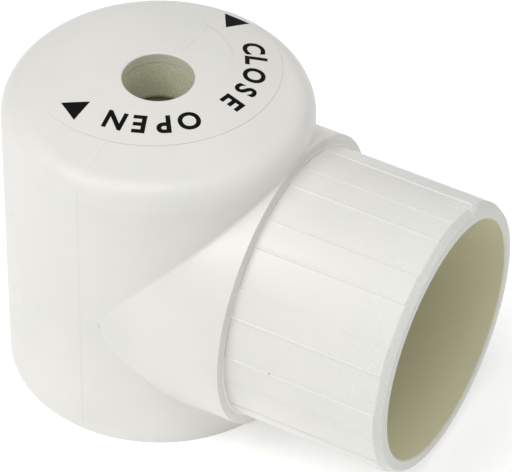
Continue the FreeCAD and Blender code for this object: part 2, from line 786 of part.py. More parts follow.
os.makedirs("parts", exist_ok=True)
for thing in doc.Objects:
    whole_piece = thing.TypeId in ("PartDesign::Body", "Part::Torus", "Part::Feature")
    if whole_piece:
        if thing.Shape.isNull() or not thing.Shape.isValid():
            raise RuntimeError(f"{thing.Label} has no valid shape")
        solid_count = len(thing.Shape.Solids)
        print(f"{thing.Label}: {solid_count} solid, {thing.Shape.Volume:.1f} mm3")
        thing.Shape.exportStep(f"parts/{thing.Label}.step")
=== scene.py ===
import json
import math

import bpy
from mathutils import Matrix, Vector


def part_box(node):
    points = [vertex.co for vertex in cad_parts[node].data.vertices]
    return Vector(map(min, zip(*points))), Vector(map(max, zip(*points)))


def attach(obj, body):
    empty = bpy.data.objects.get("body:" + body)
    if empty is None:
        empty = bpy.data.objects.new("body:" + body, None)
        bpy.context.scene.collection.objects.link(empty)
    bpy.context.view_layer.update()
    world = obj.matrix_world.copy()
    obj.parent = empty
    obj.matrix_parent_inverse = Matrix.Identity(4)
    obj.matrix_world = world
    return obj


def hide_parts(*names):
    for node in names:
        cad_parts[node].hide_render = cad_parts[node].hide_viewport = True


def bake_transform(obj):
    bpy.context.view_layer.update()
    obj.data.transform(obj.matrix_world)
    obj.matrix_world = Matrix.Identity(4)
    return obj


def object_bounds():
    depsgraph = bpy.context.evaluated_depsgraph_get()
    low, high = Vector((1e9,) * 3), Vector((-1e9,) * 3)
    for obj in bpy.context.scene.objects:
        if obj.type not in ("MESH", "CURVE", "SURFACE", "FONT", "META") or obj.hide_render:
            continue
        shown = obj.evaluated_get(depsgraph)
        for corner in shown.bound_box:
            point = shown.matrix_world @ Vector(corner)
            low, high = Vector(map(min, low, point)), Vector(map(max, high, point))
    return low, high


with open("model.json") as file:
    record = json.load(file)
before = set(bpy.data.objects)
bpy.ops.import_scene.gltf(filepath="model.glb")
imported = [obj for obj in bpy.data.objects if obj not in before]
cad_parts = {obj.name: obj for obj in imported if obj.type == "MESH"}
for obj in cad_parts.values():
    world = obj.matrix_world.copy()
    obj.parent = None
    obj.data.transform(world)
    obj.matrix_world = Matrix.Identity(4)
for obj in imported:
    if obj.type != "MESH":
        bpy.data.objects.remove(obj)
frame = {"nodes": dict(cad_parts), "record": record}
cad_low, cad_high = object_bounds()

# Looks for the angle diaphragm valve. Lengths are metres; MM turns millimetres into metres.
MM = 0.001


def mount(name):
    """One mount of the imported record."""
    return next(item for item in frame["record"]["mounts"] if item["name"] == name)


# Places and sizes that the frame gives
body_low, body_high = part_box("valve_body")
spigot_low, spigot_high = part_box("outlet_spigot")
spindle_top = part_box("drive_spindle")[1].z
seat_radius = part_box("seat_ring")[1].x
diaphragm_low, diaphragm_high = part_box("diaphragm")

body_radius = -body_low.x
crown_top = body_high.z
outlet_height = mount("outlet")["pos_m"][2]
spigot_radius = mount("outlet")["dims"]["r_mm"] * MM
outlet_bore = mount("outlet_bore")["dims"]["r_mm"] * MM
drive_hole = mount("drive_hole")["dims"]["r_mm"] * MM
collar_face = mount("outlet")["pos_m"][0] - mount("outlet")["dims"]["length_mm"] / 2 * MM
bevel_start = mount("outlet")["pos_m"][0] + mount("outlet")["dims"]["length_mm"] / 2 * MM
outlet_axis = Vector((0, 0, outlet_height))

# Sizes that the frame's boxes and mounts don't give
TAIL_STEP = 0.4 * MM
SPINDLE_BORE_DEPTH = 7.95 * MM
RUBBER = 2 * MM
tail_radius = spigot_radius - TAIL_STEP
bore_floor = spindle_top - SPINDLE_BORE_DEPTH


# ---- ways of making a piece --------------------------------------------------------------------

def deselect():
    """Leave nothing selected, so that an operator acts only on the new piece."""
    bpy.ops.object.select_all(action="DESELECT")


def take(piece):
    """Make one object the only selected and active one."""
    deselect()
    piece.select_set(True)
    bpy.context.view_layer.objects.active = piece


def edit(piece, kind="VERT"):
    """Go into edit mode on a piece, with nothing selected."""
    take(piece)
    bpy.ops.object.mode_set(mode="EDIT")
    bpy.ops.mesh.select_mode(type=kind)
    bpy.ops.mesh.select_all(action="DESELECT")


def pick_points(piece, wanted):
    """Select the points of a piece in edit mode that a test accepts."""
    bpy.ops.object.mode_set(mode="OBJECT")
    for point in piece.data.vertices:
        point.select = wanted(point.co)
    bpy.ops.object.mode_set(mode="EDIT")


def finish_piece(piece, name, body, material, smooth_angle=30):
    """Put a piece's place in its mesh, give it its finish and let it ride on its body."""
    if bpy.context.mode != "OBJECT":
        bpy.ops.object.mode_set(mode="OBJECT")
    take(piece)
    bpy.ops.object.transform_apply(location=True, rotation=True, scale=True)
    bpy.ops.object.shade_smooth_by_angle(angle=math.radians(smooth_angle))
    piece.name = name
    piece.data.name = name
    piece.data.materials.clear()
    piece.data.materials.append(material)
    if body:
        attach(piece, body)
    return piece


def apply_modifier(piece, name, kind, **settings):
    """Add one modifier and apply it at once."""
    take(piece)
    modifier = piece.modifiers.new(name, kind)
    for setting, value in settings.items():
        setattr(modifier, setting, value)
    bpy.ops.object.modifier_apply(modifier=name)


def turned(outline, steps, along=Vector((0, 0, 1)), origin=Vector((0, 0, 0))):
    """A closed turned ring: a circle extruded through (radius, distance along) corners and joined."""
    tilt = (0, math.pi / 2, 0) if along.x else (0, 0, 0)
    radius, distance = outline[0]
    deselect()
    bpy.ops.mesh.primitive_circle_add(vertices=steps, radius=radius, rotation=tilt,
                                      location=origin + along * distance)
    piece = bpy.context.object
    bpy.ops.object.transform_apply(location=True, rotation=True, scale=True)
    edit(piece)
    bpy.ops.mesh.select_all(action="SELECT")
    for next_radius, next_distance in outline[1:]:
        step = along * (next_distance - distance)
        bpy.ops.mesh.extrude_edges_move(TRANSFORM_OT_translate={"value": step})
        ratio = next_radius / radius
        bpy.ops.transform.resize(value=(ratio, ratio, ratio),
                                 center_override=origin + along * next_distance)
        radius, distance = next_radius, next_distance
    bpy.ops.mesh.select_all(action="DESELECT")
    bpy.ops.mesh.select_non_manifold()
    bpy.ops.mesh.bridge_edge_loops()
    bpy.ops.mesh.select_all(action="SELECT")
    bpy.ops.mesh.normals_make_consistent(inside=False)
    bpy.ops.object.mode_set(mode="OBJECT")
    return piece


# ---- shader helpers ----------------------------------------------------------------------------

def new_group(name, inputs, outputs):
    """An empty shader node group with named inputs (socket kind, start value) and outputs."""
    group = bpy.data.node_groups.new(name, "ShaderNodeTree")
    for label, (kind, value) in inputs.items():
        socket = group.interface.new_socket(name=label, in_out="INPUT", socket_type=kind)
        socket.default_value = value
    for label, kind in outputs.items():
        group.interface.new_socket(name=label, in_out="OUTPUT", socket_type=kind)
    start = group.nodes.new("NodeGroupInput")
    end = group.nodes.new("NodeGroupOutput")
    return group, start, end


def add_math(nodes, links, operation, first, second=None):
    """A Math node; each side is a number or a socket."""
    node = nodes.new("ShaderNodeMath")
    node.operation = operation
    for index, side in enumerate((first, second)):
        if side is None:
            continue
        if isinstance(side, (int, float)):
            node.inputs[index].default_value = side
        else:
            links.new(side, node.inputs[index])
    return node.outputs[0]


def add_mix(nodes, links, share, first, second, blend="MIX"):
    """A colour mix; each colour is a tuple or a socket."""
    node = nodes.new("ShaderNodeMix")
    node.data_type = "RGBA"
    node.blend_type = blend
    if isinstance(share, (int, float)):
        node.inputs["Factor"].default_value = share
    else:
        links.new(share, node.inputs["Factor"])
    for label, side in (("A", first), ("B", second)):
        socket = next(s for s in node.inputs if s.name == label and s.type == "RGBA")
        if isinstance(side, tuple):
            socket.default_value = side
        else:
            links.new(side, socket)
    return next(s for s in node.outputs if s.type == "RGBA")


def add_range(nodes, links, value, low, high, to_low=0.0, to_high=1.0):
    """A smooth step of a value from one range to another."""
    node = nodes.new("ShaderNodeMapRange")
    node.interpolation_type = "SMOOTHSTEP"
    links.new(value, node.inputs["Value"])
    node.inputs["From Min"].default_value = low
    node.inputs["From Max"].default_value = high
    node.inputs["To Min"].default_value = to_low
    node.inputs["To Max"].default_value = to_high
    return node.outputs["Result"]


def add_noise(nodes, links, coordinates, scale, detail=3.0, roughness=0.5):
    """A noise value over the piece's own coordinates; scale is a number or a socket."""
    node = nodes.new("ShaderNodeTexNoise")
    links.new(coordinates, node.inputs["Vector"])
    if isinstance(scale, (int, float)):
        node.inputs["Scale"].default_value = scale
    else:
        links.new(scale, node.inputs["Scale"])
    node.inputs["Detail"].default_value = detail
    node.inputs["Roughness"].default_value = roughness
    return node.outputs["Fac"]


def make_tone_group():
    """Moulded plastic's colour: slow drift between two tones, with a few dark specks in it."""
    group, start, end = new_group(
        "moulded_tone",
        {
            "Tone": ("NodeSocketColor", (0.8, 0.8, 0.8, 1)),
            "Drift Tone": ("NodeSocketColor", (0.7, 0.7, 0.7, 1)),
            "Drift Scale": ("NodeSocketFloat", 60.0),
            "Speck Tone": ("NodeSocketColor", (0.2, 0.18, 0.12, 1)),
            "Speck Share": ("NodeSocketFloat", 0.2),
        },
        {"Color": "NodeSocketColor"},
    )
    nodes, links = group.nodes, group.links
    place = nodes.new("ShaderNodeTexCoord").outputs["Object"]
    drift = add_noise(nodes, links, place, start.outputs["Drift Scale"], detail=4.0)
    share = add_range(nodes, links, drift, 0.35, 0.7)
    tone = add_mix(nodes, links, share, start.outputs["Tone"], start.outputs["Drift Tone"])
    cells = nodes.new("ShaderNodeTexVoronoi")
    cells.inputs["Scale"].default_value = 170
    links.new(place, cells.inputs["Vector"])
    dot = add_range(nodes, links, cells.outputs["Distance"], 0.018, 0.034, 1.0, 0.0)
    split = nodes.new("ShaderNodeSeparateColor")
    links.new(cells.outputs["Color"], split.inputs["Color"])
    chosen = add_math(nodes, links, "LESS_THAN", split.outputs["Red"], start.outputs["Speck Share"])
    speck = add_math(nodes, links, "MULTIPLY", dot, chosen)
    links.new(add_mix(nodes, links, speck, tone, start.outputs["Speck Tone"]), end.inputs["Color"])
    return group


def make_grain_group():
    """Surface of a moulding: fine grain over slow waviness, as a height and a roughness."""
    group, start, end = new_group(
        "moulded_grain",
        {
            "Grain": ("NodeSocketFloat", 0.3),
            "Wave": ("NodeSocketFloat", 0.3),
            "Roughness": ("NodeSocketFloat", 0.4),
        },
        {"Height": "NodeSocketFloat", "Roughness": "NodeSocketFloat"},
    )
    nodes, links = group.nodes, group.links
    place = nodes.new("ShaderNodeTexCoord").outputs["Object"]
    fine = add_noise(nodes, links, place, 3500.0, detail=2.0)
    slow = add_noise(nodes, links, place, 140.0, detail=1.0)
    fine_height = add_math(nodes, links, "MULTIPLY", fine, start.outputs["Grain"])
    slow_height = add_math(nodes, links, "MULTIPLY", slow, start.outputs["Wave"])
    links.new(add_math(nodes, links, "ADD", fine_height, slow_height), end.inputs["Height"])
    uneven = add_range(nodes, links, slow, 0.3, 0.7, -0.04, 0.06)
    links.new(add_math(nodes, links, "ADD", start.outputs["Roughness"], uneven),
              end.inputs["Roughness"])
    return group


tone_group = make_tone_group()
grain_group = make_grain_group()


def put_group(nodes, group, **values):
    """Place a node group with its own values; underscores in the names stand for spaces."""
    node = nodes.new("ShaderNodeGroup")
    node.node_tree = group
    for label, value in values.items():
        node.inputs[label.replace("_", " ")].default_value = value
    return node


def new_material(name):
    """A node material, and its parts."""
    material = bpy.data.materials.new(name)
    material.use_nodes = True
    nodes, links = material.node_tree.nodes, material.node_tree.links
    return material, nodes, links, nodes["Principled BSDF"]


def add_bump(nodes, links, shader, height, distance, strength=1.0):
    """Feed a height to the shader's normal; distance is in metres."""
    bump = nodes.new("ShaderNodeBump")
    bump.inputs["Distance"].default_value = distance
    bump.inputs["Strength"].default_value = strength
    links.new(height, bump.inputs["Height"])
    links.new(bump.outputs["Normal"], shader.inputs["Normal"])


def moulded_material(name, tone, drift, roughness, grain=0.25, specks=0.1,
                     bump=0.02 * MM, speck_tone=(0.22, 0.2, 0.14, 1)):
    """Moulded plastic or rubber: drifting tone, specks, grain and uneven gloss."""
    material, nodes, links, shader = new_material(name)
    colour = put_group(nodes, tone_group, Tone=tone, Drift_Tone=drift,
                       Speck_Tone=speck_tone, Speck_Share=specks)
    surface = put_group(nodes, grain_group, Grain=grain, Wave=0.4, Roughness=roughness)
    links.new(colour.outputs["Color"], shader.inputs["Base Color"])
    links.new(surface.outputs["Roughness"], shader.inputs["Roughness"])
    add_bump(nodes, links, shader, surface.outputs["Height"], bump)
    return material


def metal_material(name, tone, stain, roughness, line_scale):
    """Turned metal: fine rings round the upright axis, with a few stains."""
    material, nodes, links, shader = new_material(name)
    shader.inputs["Metallic"].default_value = 1.0
    place = nodes.new("ShaderNodeTexCoord").outputs["Object"]
    rings = nodes.new("ShaderNodeTexWave")
    rings.wave_type = "RINGS"
    rings.rings_direction = "Z"
    rings.inputs["Scale"].default_value = line_scale
    rings.inputs["Distortion"].default_value = 1.5
    links.new(place, rings.inputs["Vector"])
    cloud = add_noise(nodes, links, place, 300.0)
    links.new(add_mix(nodes, links, add_range(nodes, links, cloud, 0.4, 0.75), tone, stain),
              shader.inputs["Base Color"])
    links.new(add_range(nodes, links, cloud, 0.3, 0.7, roughness, roughness + 0.15),
              shader.inputs["Roughness"])
    add_bump(nodes, links, shader, rings.outputs["Fac"], 0.01 * MM, 0.4)
    return material


# ---- finishes ----------------------------------------------------------------------------------

WHITE = (0.775, 0.765, 0.725, 1)
WHITE_DRIFT = (0.745, 0.738, 0.70, 1)


def make_body_finish():
    """Warm white PVC, satin: painted olive shade on the drive hole's wall, with the mould's seam down both
    sides.
    """
    material, nodes, links, shader = new_material("body_pvc_looks")
    colour = put_group(nodes, tone_group, Tone=WHITE, Drift_Tone=WHITE_DRIFT, Speck_Share=0.05)
    surface = put_group(nodes, grain_group, Grain=0.22, Wave=0.5, Roughness=0.36)
    place = nodes.new("ShaderNodeTexCoord").outputs["Object"]
    split = nodes.new("ShaderNodeSeparateXYZ")
    links.new(place, split.inputs[0])
    across = add_math(nodes, links, "MULTIPLY", split.outputs["X"], split.outputs["X"])
    deep = add_math(nodes, links, "MULTIPLY", split.outputs["Y"], split.outputs["Y"])
    radius = add_math(nodes, links, "SQRT", add_math(nodes, links, "ADD", across, deep))
    # Painted shade: just below its rim, the drive hole's wall is darkened to olive, standing in for the
    # hole's shade and warm bounce light.
    inside = add_range(nodes, links, radius, drive_hole + 0.05 * MM, drive_hole + 0.3 * MM, 0.85, 0.0)
    below_rim = add_range(nodes, links, split.outputs["Z"], crown_top - 0.6 * MM, crown_top - 0.3 * MM,
                          1.0, 0.0)
    inside = add_math(nodes, links, "MULTIPLY", inside, below_rim)
    hole_shaded_tone = add_mix(nodes, links, inside, colour.outputs["Color"], (0.72, 0.71, 0.56, 1))
    from_seam = add_math(nodes, links, "ABSOLUTE", split.outputs["X"])
    seam = add_range(nodes, links, from_seam, 0.05 * MM, 0.16 * MM, 1.0, 0.0)
    on_side = add_range(nodes, links, radius, body_radius - 0.6 * MM, body_radius - 0.2 * MM)
    seam = add_math(nodes, links, "MULTIPLY", seam, on_side)
    faint = add_math(nodes, links, "MULTIPLY", seam, 0.25)
    links.new(add_mix(nodes, links, faint, hole_shaded_tone, (0.6, 0.59, 0.54, 1)), shader.inputs["Base Color"])
    links.new(surface.outputs["Roughness"], shader.inputs["Roughness"])
    height = add_math(nodes, links, "ADD", surface.outputs["Height"], seam)
    add_bump(nodes, links, shader, height, 0.02 * MM)
    return material


def make_spigot_finish():
    """Spigot PVC: satin at the root, matt and grainy to the end, worn at the top of the bevel, with painted
    olive shade in the bore.
    """
    material, nodes, links, shader = new_material("spigot_pvc_looks")
    place = nodes.new("ShaderNodeTexCoord").outputs["Object"]
    split = nodes.new("ShaderNodeSeparateXYZ")
    links.new(place, split.inputs[0])
    reach = split.outputs["X"]
    up = add_math(nodes, links, "SUBTRACT", split.outputs["Z"], outlet_height)
    square_up = add_math(nodes, links, "MULTIPLY", up, up)
    square_side = add_math(nodes, links, "MULTIPLY", split.outputs["Y"], split.outputs["Y"])
    radius = add_math(nodes, links, "SQRT", add_math(nodes, links, "ADD", square_up, square_side))

    colour = put_group(nodes, tone_group, Tone=WHITE, Drift_Tone=WHITE_DRIFT, Speck_Share=0.13)
    sparkle = add_noise(nodes, links, place, 2600.0, detail=2.0)
    matt = add_range(nodes, links, reach, collar_face + 6 * MM, bevel_start - 3 * MM)
    grain_share = add_math(nodes, links, "MULTIPLY", matt, add_range(nodes, links, sparkle, 0.4, 0.75))
    outside = add_mix(nodes, links, grain_share, colour.outputs["Color"], (0.80, 0.80, 0.775, 1))

    on_bevel = add_range(nodes, links, reach, bevel_start + 0.02 * MM, bevel_start + 0.12 * MM)
    scuffed = add_mix(nodes, links, add_range(nodes, links, sparkle, 0.35, 0.7),
                      (0.68, 0.685, 0.64, 1), (0.73, 0.735, 0.70, 1))
    outside = add_mix(nodes, links, on_bevel, outside, scuffed)

    lean = math.radians(21)
    worn_place = Vector((bevel_start - 1.2 * MM, spigot_radius * math.sin(lean),
                         outlet_height + spigot_radius * math.cos(lean)))
    offset = nodes.new("ShaderNodeVectorMath")
    offset.operation = "DISTANCE"
    links.new(place, offset.inputs[0])
    offset.inputs[1].default_value = worn_place
    patchy = add_noise(nodes, links, place, 1500.0, detail=6.0, roughness=0.75)
    near = add_range(nodes, links, offset.outputs["Value"], 0.5 * MM, 7 * MM, 0.52, 0.25)
    worn = add_range(nodes, links, add_math(nodes, links, "ADD", patchy, near), 0.92, 1.04)
    outside = add_mix(nodes, links, worn, outside, (0.86, 0.855, 0.815, 1))
    cracks = nodes.new("ShaderNodeTexVoronoi")
    cracks.feature = "DISTANCE_TO_EDGE"
    cracks.inputs["Scale"].default_value = 420
    links.new(place, cracks.inputs["Vector"])
    crack = add_range(nodes, links, cracks.outputs["Distance"], 0.015, 0.05, 0.8, 0.0)
    around = add_range(nodes, links, offset.outputs["Value"], 2 * MM, 4.5 * MM, 1.0, 0.0)
    crack = add_math(nodes, links, "MULTIPLY", crack, around)
    outside = add_mix(nodes, links, crack, outside, (0.88, 0.87, 0.83, 1))

    # Painted shade: the bore's wall is darkened to olive, standing in for the shade and warm bounce light
    # inside the tube.
    bore_shade_mask = add_range(nodes, links, radius, outlet_bore + 0.03 * MM, outlet_bore + 0.12 * MM, 1.0, 0.0)
    bore_shade_tone = add_mix(nodes, links, add_noise(nodes, links, place, 70.0),
                        (0.75, 0.725, 0.51, 1), (0.78, 0.755, 0.56, 1))
    links.new(add_mix(nodes, links, bore_shade_mask, outside, bore_shade_tone), shader.inputs["Base Color"])

    rough = add_range(nodes, links, reach, collar_face, bevel_start, 0.34, 0.62)
    links.new(add_math(nodes, links, "MULTIPLY", rough,
                       add_range(nodes, links, sparkle, 0.2, 0.8, 0.9, 1.1)),
              shader.inputs["Roughness"])
    surface = put_group(nodes, grain_group, Grain=0.2, Wave=0.5)
    coarse = add_math(nodes, links, "ADD", matt, add_math(nodes, links, "MULTIPLY", on_bevel, 0.6))
    coarse = add_math(nodes, links, "MULTIPLY", coarse, sparkle)
    height = add_math(nodes, links, "ADD", surface.outputs["Height"], coarse)
    height = add_math(nodes, links, "ADD", height, add_math(nodes, links, "MULTIPLY", worn, patchy))
    add_bump(nodes, links, shader, height, 0.035 * MM)
    return material


def make_film_finish():
    """Clear vinyl film: the white under it, a little creamier and glossier, with painted shade on its cut
    edge.
    """
    material, nodes, links, shader = new_material("clear_film_looks")
    surface = put_group(nodes, grain_group, Grain=0.06, Wave=0.8, Roughness=0.27)
    colour = put_group(nodes, tone_group, Tone=(0.77, 0.759, 0.71, 1),
                       Drift_Tone=(0.748, 0.74, 0.692, 1), Speck_Share=0.06)
    # Painted shade: faces of the film that turn away from upright, which form its cut edge, are darkened.
    lean = nodes.new("ShaderNodeNewGeometry")
    upright = nodes.new("ShaderNodeSeparateXYZ")
    links.new(lean.outputs["True Normal"], upright.inputs[0])
    edge = add_range(nodes, links, upright.outputs["Z"], 0.3, 0.7, 0.5, 0.0)
    links.new(add_mix(nodes, links, edge, colour.outputs["Color"], (0.5, 0.48, 0.4, 1)),
              shader.inputs["Base Color"])
    links.new(surface.outputs["Roughness"], shader.inputs["Roughness"])
    add_bump(nodes, links, shader, surface.outputs["Height"], 0.02 * MM)
    return material


def make_bore_finish():
    """Spark-textured nylon inside the drive hole: olive grey, coarse and matt, with painted shade towards the
    bottom of the hole.
    """
    material, nodes, links, shader = new_material("spindle_nylon_looks")
    place = nodes.new("ShaderNodeTexCoord").outputs["Object"]
    pits = add_noise(nodes, links, place, 3300.0, detail=2.0)
    split = nodes.new("ShaderNodeSeparateXYZ")
    links.new(place, split.inputs[0])
    # Painted shade: the bore goes nearly black within about a millimetre of its floor, where the hole is in
    # shade.
    deep = add_range(nodes, links, split.outputs["Z"], bore_floor + 0.02 * MM, bore_floor + 1.1 * MM,
                     1.0, 0.0)
    colour = put_group(nodes, tone_group, Tone=(0.74, 0.735, 0.56, 1),
                       Drift_Tone=(0.69, 0.685, 0.50, 1), Speck_Share=0.3)
    grains = add_range(nodes, links, pits, 0.54, 0.64, 0.0, 0.85)
    textured = add_mix(nodes, links, grains, colour.outputs["Color"], (0.88, 0.89, 0.78, 1))
    links.new(add_mix(nodes, links, deep, textured, (0.10, 0.09, 0.035, 1)),
              shader.inputs["Base Color"])
    links.new(add_range(nodes, links, pits, 0.3, 0.7, 0.45, 0.7), shader.inputs["Roughness"])
    add_bump(nodes, links, shader, pits, 0.09 * MM)
    return material


FINISHES = {
    "body_pvc": make_body_finish(),
    "spigot_pvc": make_spigot_finish(),
    "clear_film": make_film_finish(),
    "spindle_nylon": make_bore_finish(),
    "bonnet_pvc": moulded_material("bonnet_pvc_looks", (0.70, 0.69, 0.64, 1), (0.66, 0.65, 0.60, 1), 0.4),
    "inlet_pvc": moulded_material("inlet_pvc_looks", (0.74, 0.73, 0.69, 1), (0.71, 0.70, 0.66, 1), 0.38),
    "bush_acetal": moulded_material("bush_acetal_looks", (0.82, 0.82, 0.80, 1), (0.78, 0.78, 0.76, 1), 0.28),
    "seat_plastic": moulded_material("seat_plastic_looks", (0.80, 0.79, 0.75, 1), (0.77, 0.76, 0.72, 1),
                                     0.22, grain=0.1),
    "compressor_plastic": moulded_material("compressor_plastic_looks", (0.07, 0.073, 0.08, 1),
                                           (0.095, 0.098, 0.105, 1), 0.48, grain=0.5),
    "clamp_plastic": moulded_material("clamp_plastic_looks", (0.26, 0.265, 0.27, 1),
                                      (0.31, 0.315, 0.32, 1), 0.45, grain=0.5),
    "seal_rubber": moulded_material("seal_rubber_looks", (0.012, 0.012, 0.013, 1),
                                    (0.02, 0.02, 0.021, 1), 0.45, grain=0.3, specks=0.0),
    "cushion_rubber": moulded_material("cushion_rubber_looks", (0.035, 0.035, 0.038, 1),
                                       (0.05, 0.05, 0.052, 1), 0.6, grain=0.6, specks=0.0),
    "diaphragm_rubber": moulded_material("diaphragm_rubber_looks", (0.016, 0.016, 0.018, 1),
                                         (0.03, 0.03, 0.032, 1), 0.52, grain=0.5, specks=0.15,
                                         speck_tone=(0.3, 0.3, 0.28, 1)),
    "stainless": metal_material("stainless_looks", (0.62, 0.62, 0.63, 1), (0.5, 0.5, 0.5, 1), 0.26, 900.0),
    "nut_brass": metal_material("nut_brass_looks", (0.72, 0.53, 0.25, 1), (0.55, 0.4, 0.2, 1), 0.3, 900.0),
    "clip_steel": metal_material("clip_steel_looks", (0.33, 0.34, 0.36, 1), (0.2, 0.2, 0.22, 1), 0.38, 500.0),
}


def finish_frame_nodes():
    """Give every carried-over node the finish of its material slot."""
    for part in frame["record"]["subparts"]:
        node = frame["nodes"][part["node"]]
        node.data.materials.clear()
        node.data.materials.append(FINISHES[part["material_slot"]])


# ---- outlet spigot -----------------------------------------------------------------------------

# Shallow strips run the length of the spigot, twelve low ones between twelve high ones.
STRIP_PERIOD = 30
LOW_STRIP_FROM = 5.5
LOW_STRIP_TO = 23.4
RIDGE_WIDTH = 0.8
LOW_STRIP_DEPTH = 0.17 * MM
HIGH_STRIP_DEPTH = 0.08 * MM
SPIGOT_STEPS = 720


def strip_angle(place):
    """Degrees round the outlet axis from the near side, within one period of the strips."""
    return math.degrees(math.atan2(place.z - outlet_height, -place.y)) % STRIP_PERIOD


def on_outside(place):
    """Whether a point is on the straight part of the spigot's outside, up to the bevel."""
    radius = math.hypot(place.y, place.z - outlet_height)
    return place.x > collar_face - 0.07 * MM and radius > spigot_radius - 0.02 * MM


def in_low_strip(place):
    inside = LOW_STRIP_FROM < strip_angle(place) < LOW_STRIP_TO
    return on_outside(place) and inside


def in_high_strip(place):
    angle = strip_angle(place)
    before = angle < LOW_STRIP_FROM - RIDGE_WIDTH
    after = angle > LOW_STRIP_TO + RIDGE_WIDTH
    return on_outside(place) and (before or after)


def make_spigot_tube():
    """Spigot tube with its stepped strips, rough bevel and broken inner edge."""
    start = spigot_low.x
    end = spigot_high.x
    bevel_drop = 0.9 * MM
    bevel_radius = spigot_radius - bevel_drop
    edge = 0.25 * MM
    tube = turned([
        (outlet_bore, start),
        (tail_radius, start),
        (tail_radius, collar_face),
        (spigot_radius, collar_face),
        (spigot_radius, bevel_start),
        ((spigot_radius + bevel_radius) / 2, (bevel_start + end) / 2),
        (bevel_radius, end - edge / 3),
        (bevel_radius - edge, end),
        (outlet_bore + edge, end),
        (outlet_bore, end - edge),
    ], SPIGOT_STEPS, Vector((1, 0, 0)), outlet_axis)
    bevel_slope = (end - bevel_start) / (spigot_radius - bevel_radius)
    for wanted, depth in ((in_high_strip, HIGH_STRIP_DEPTH), (in_low_strip, LOW_STRIP_DEPTH)):
        edit(tube)
        pick_points(tube, wanted)
        shrink = 1 - depth / spigot_radius
        bpy.ops.transform.resize(value=(1, shrink, shrink), center_override=outlet_axis)
        bpy.ops.object.mode_set(mode="OBJECT")
        for point in tube.data.vertices:
            point.select = point.select and point.co.x > bevel_start - edge
        bpy.ops.object.mode_set(mode="EDIT")
        bpy.ops.transform.translate(value=(depth * bevel_slope, 0, 0))
        bpy.ops.object.mode_set(mode="OBJECT")
    finish_piece(tube, "spigot_tube", "valve", FINISHES["spigot_pvc"], 12)
    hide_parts("outlet_spigot")


def make_weld_bead():
    """Thin bead of cement squeezed out where the spigot enters the collar."""
    stand = 0.22 * MM
    bead = turned([
        (spigot_radius - LOW_STRIP_DEPTH, collar_face - 0.3 * MM),
        (spigot_radius + stand * 1.6, collar_face - 0.1 * MM),
        (spigot_radius + stand * 1.2, collar_face + stand * 0.4),
        (spigot_radius + stand * 0.4, collar_face + stand),
        (spigot_radius - LOW_STRIP_DEPTH, collar_face + stand * 1.2),
    ], 180, Vector((1, 0, 0)), outlet_axis)
    finish_piece(bead, "weld_bead", "valve", FINISHES["spigot_pvc"], 60)


# ---- film and lettering on the crown -------------------------------------------------------------

# The film's arc: centre and radii, in the crown's plan
FILM_CENTRE = Vector((-3.3 * MM, 4.5 * MM, 0))
FILM_INNER = 13.5 * MM
FILM_OUTER = 22 * MM
FILM_FIRST = -112
FILM_SWEEP = 186
FILM_CELLS = 12
FILM_LIFT = 0.03 * MM
FILM_THICKNESS = 0.05 * MM
LETTER_FOOT = 15.5 * MM
LETTER_HEIGHT = 3.9 * MM
LETTER_ANGLES = {
    "CLOSE": (42.9, 31.0, 17.3, 2.8, -10.8),
    "OPEN": (-40.3, -55.0, -68.5, -82.5),
}
ARROW_RADIUS = 18.1 * MM
ARROW_WIDTH = 4.7 * MM
ARROW_LENGTH = 4.4 * MM
ARROW_LEAN = 8
# Degrees of the middle of each arrow's base, and the way it points round the arc
ARROWS = ((67.5, 1), (-102.7, -1))


def polar(radius, angle):
    """A place on the film's plan, at a radius and degrees from +X."""
    turn = math.radians(angle)
    return FILM_CENTRE + Vector((radius * math.cos(turn), radius * math.sin(turn), crown_top))


def spin_points(film, wanted, sweep, centre, steps):
    """Spin the film's points that a test accepts; degrees count anticlockwise from above."""
    edit(film)
    pick_points(film, wanted)
    bpy.ops.mesh.spin(steps=steps, angle=math.radians(-sweep), center=centre, axis=(0, 0, 1))
    bpy.ops.object.mode_set(mode="OBJECT")


